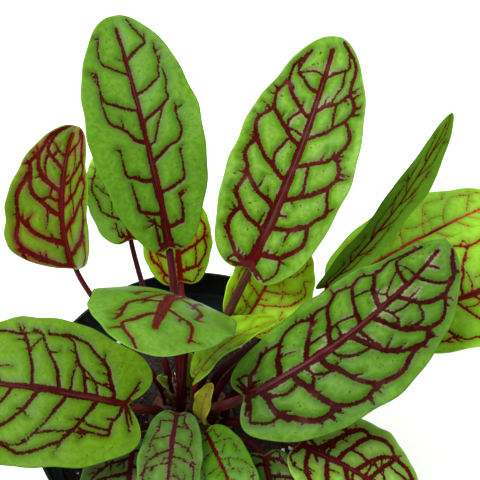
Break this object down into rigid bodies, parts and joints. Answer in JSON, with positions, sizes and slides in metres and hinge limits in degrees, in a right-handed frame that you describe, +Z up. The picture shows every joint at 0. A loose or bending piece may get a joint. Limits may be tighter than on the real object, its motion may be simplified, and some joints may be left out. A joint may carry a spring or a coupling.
{
  "type": "potted red-veined sorrel",
  "caption": "Red-veined sorrel: a rosette of oval green leaves with maroon vein nets on red stalks, growing from soil in a round black nursery pot.",
  "frame": {"origin": "centre of the pot's underside", "axes": "+Z up; the picture looks along +Y and down, with +X to the right"},
  "size_m": [0.2701, 0.1904, 0.2236],
  "materials": {
    "pot": "thin black moulded plastic, satin, a little dusty",
    "soil": "dark crumbly potting soil with white perlite grains",
    "crown": "brown rootstock with old papery sheaths",
    "leaf": "smooth satin leaf, mid green, with sunken maroon veins",
    "young_leaf": "thin yellow-green young leaf, satin, few veins",
    "stalk": "smooth round dark red stalk, a little glossy"
  },
  "bodies": {
    "root": {"pot": "pot", "soil": "soil", "crown": "crown", "leaf_back_left_blade": "leaf", "leaf_back_left_stalk": "stalk", "leaf_back_right_blade": "leaf", "leaf_back_right_stalk": "stalk", "leaf_left_small_blade": "leaf", "leaf_left_small_stalk": "stalk", "leaf_behind_left_blade": "leaf", "leaf_behind_left_stalk": "stalk", "leaf_behind_low_blade": "leaf", "leaf_behind_low_stalk": "stalk", "leaf_centre_blade": "leaf", "leaf_centre_stalk": "stalk", "leaf_left_blade": "leaf", "leaf_left_stalk": "stalk", "leaf_right_front_blade": "leaf", "leaf_right_front_stalk": "stalk", "leaf_right_narrow_blade": "leaf", "leaf_right_narrow_stalk": "stalk", "leaf_right_back_blade": "leaf", "leaf_right_back_stalk": "stalk", "leaf_far_right_blade": "leaf", "leaf_far_right_stalk": "stalk", "leaf_low_right_blade": "leaf", "leaf_low_right_stalk": "stalk", "leaf_low_front_blade": "leaf", "leaf_low_front_stalk": "stalk", "leaf_front_bright_blade": "leaf", "leaf_front_bright_stalk": "stalk", "leaf_front_folded_blade": "leaf", "leaf_front_folded_stalk": "stalk", "leaf_front_left_blade": "leaf", "leaf_front_left_stalk": "stalk", "leaf_middle_pale_blade": "young_leaf", "leaf_middle_pale_stalk": "stalk", "leaf_behind_right_blade": "young_leaf", "leaf_behind_right_stalk": "stalk", "leaf_young_yellow_blade": "young_leaf", "leaf_young_yellow_stalk": "stalk", "leaf_young_left_blade": "young_leaf", "leaf_young_left_stalk": "stalk", "leaf_young_centre_blade": "young_leaf", "leaf_young_centre_stalk": "stalk"}
  },
  "joints": []
}
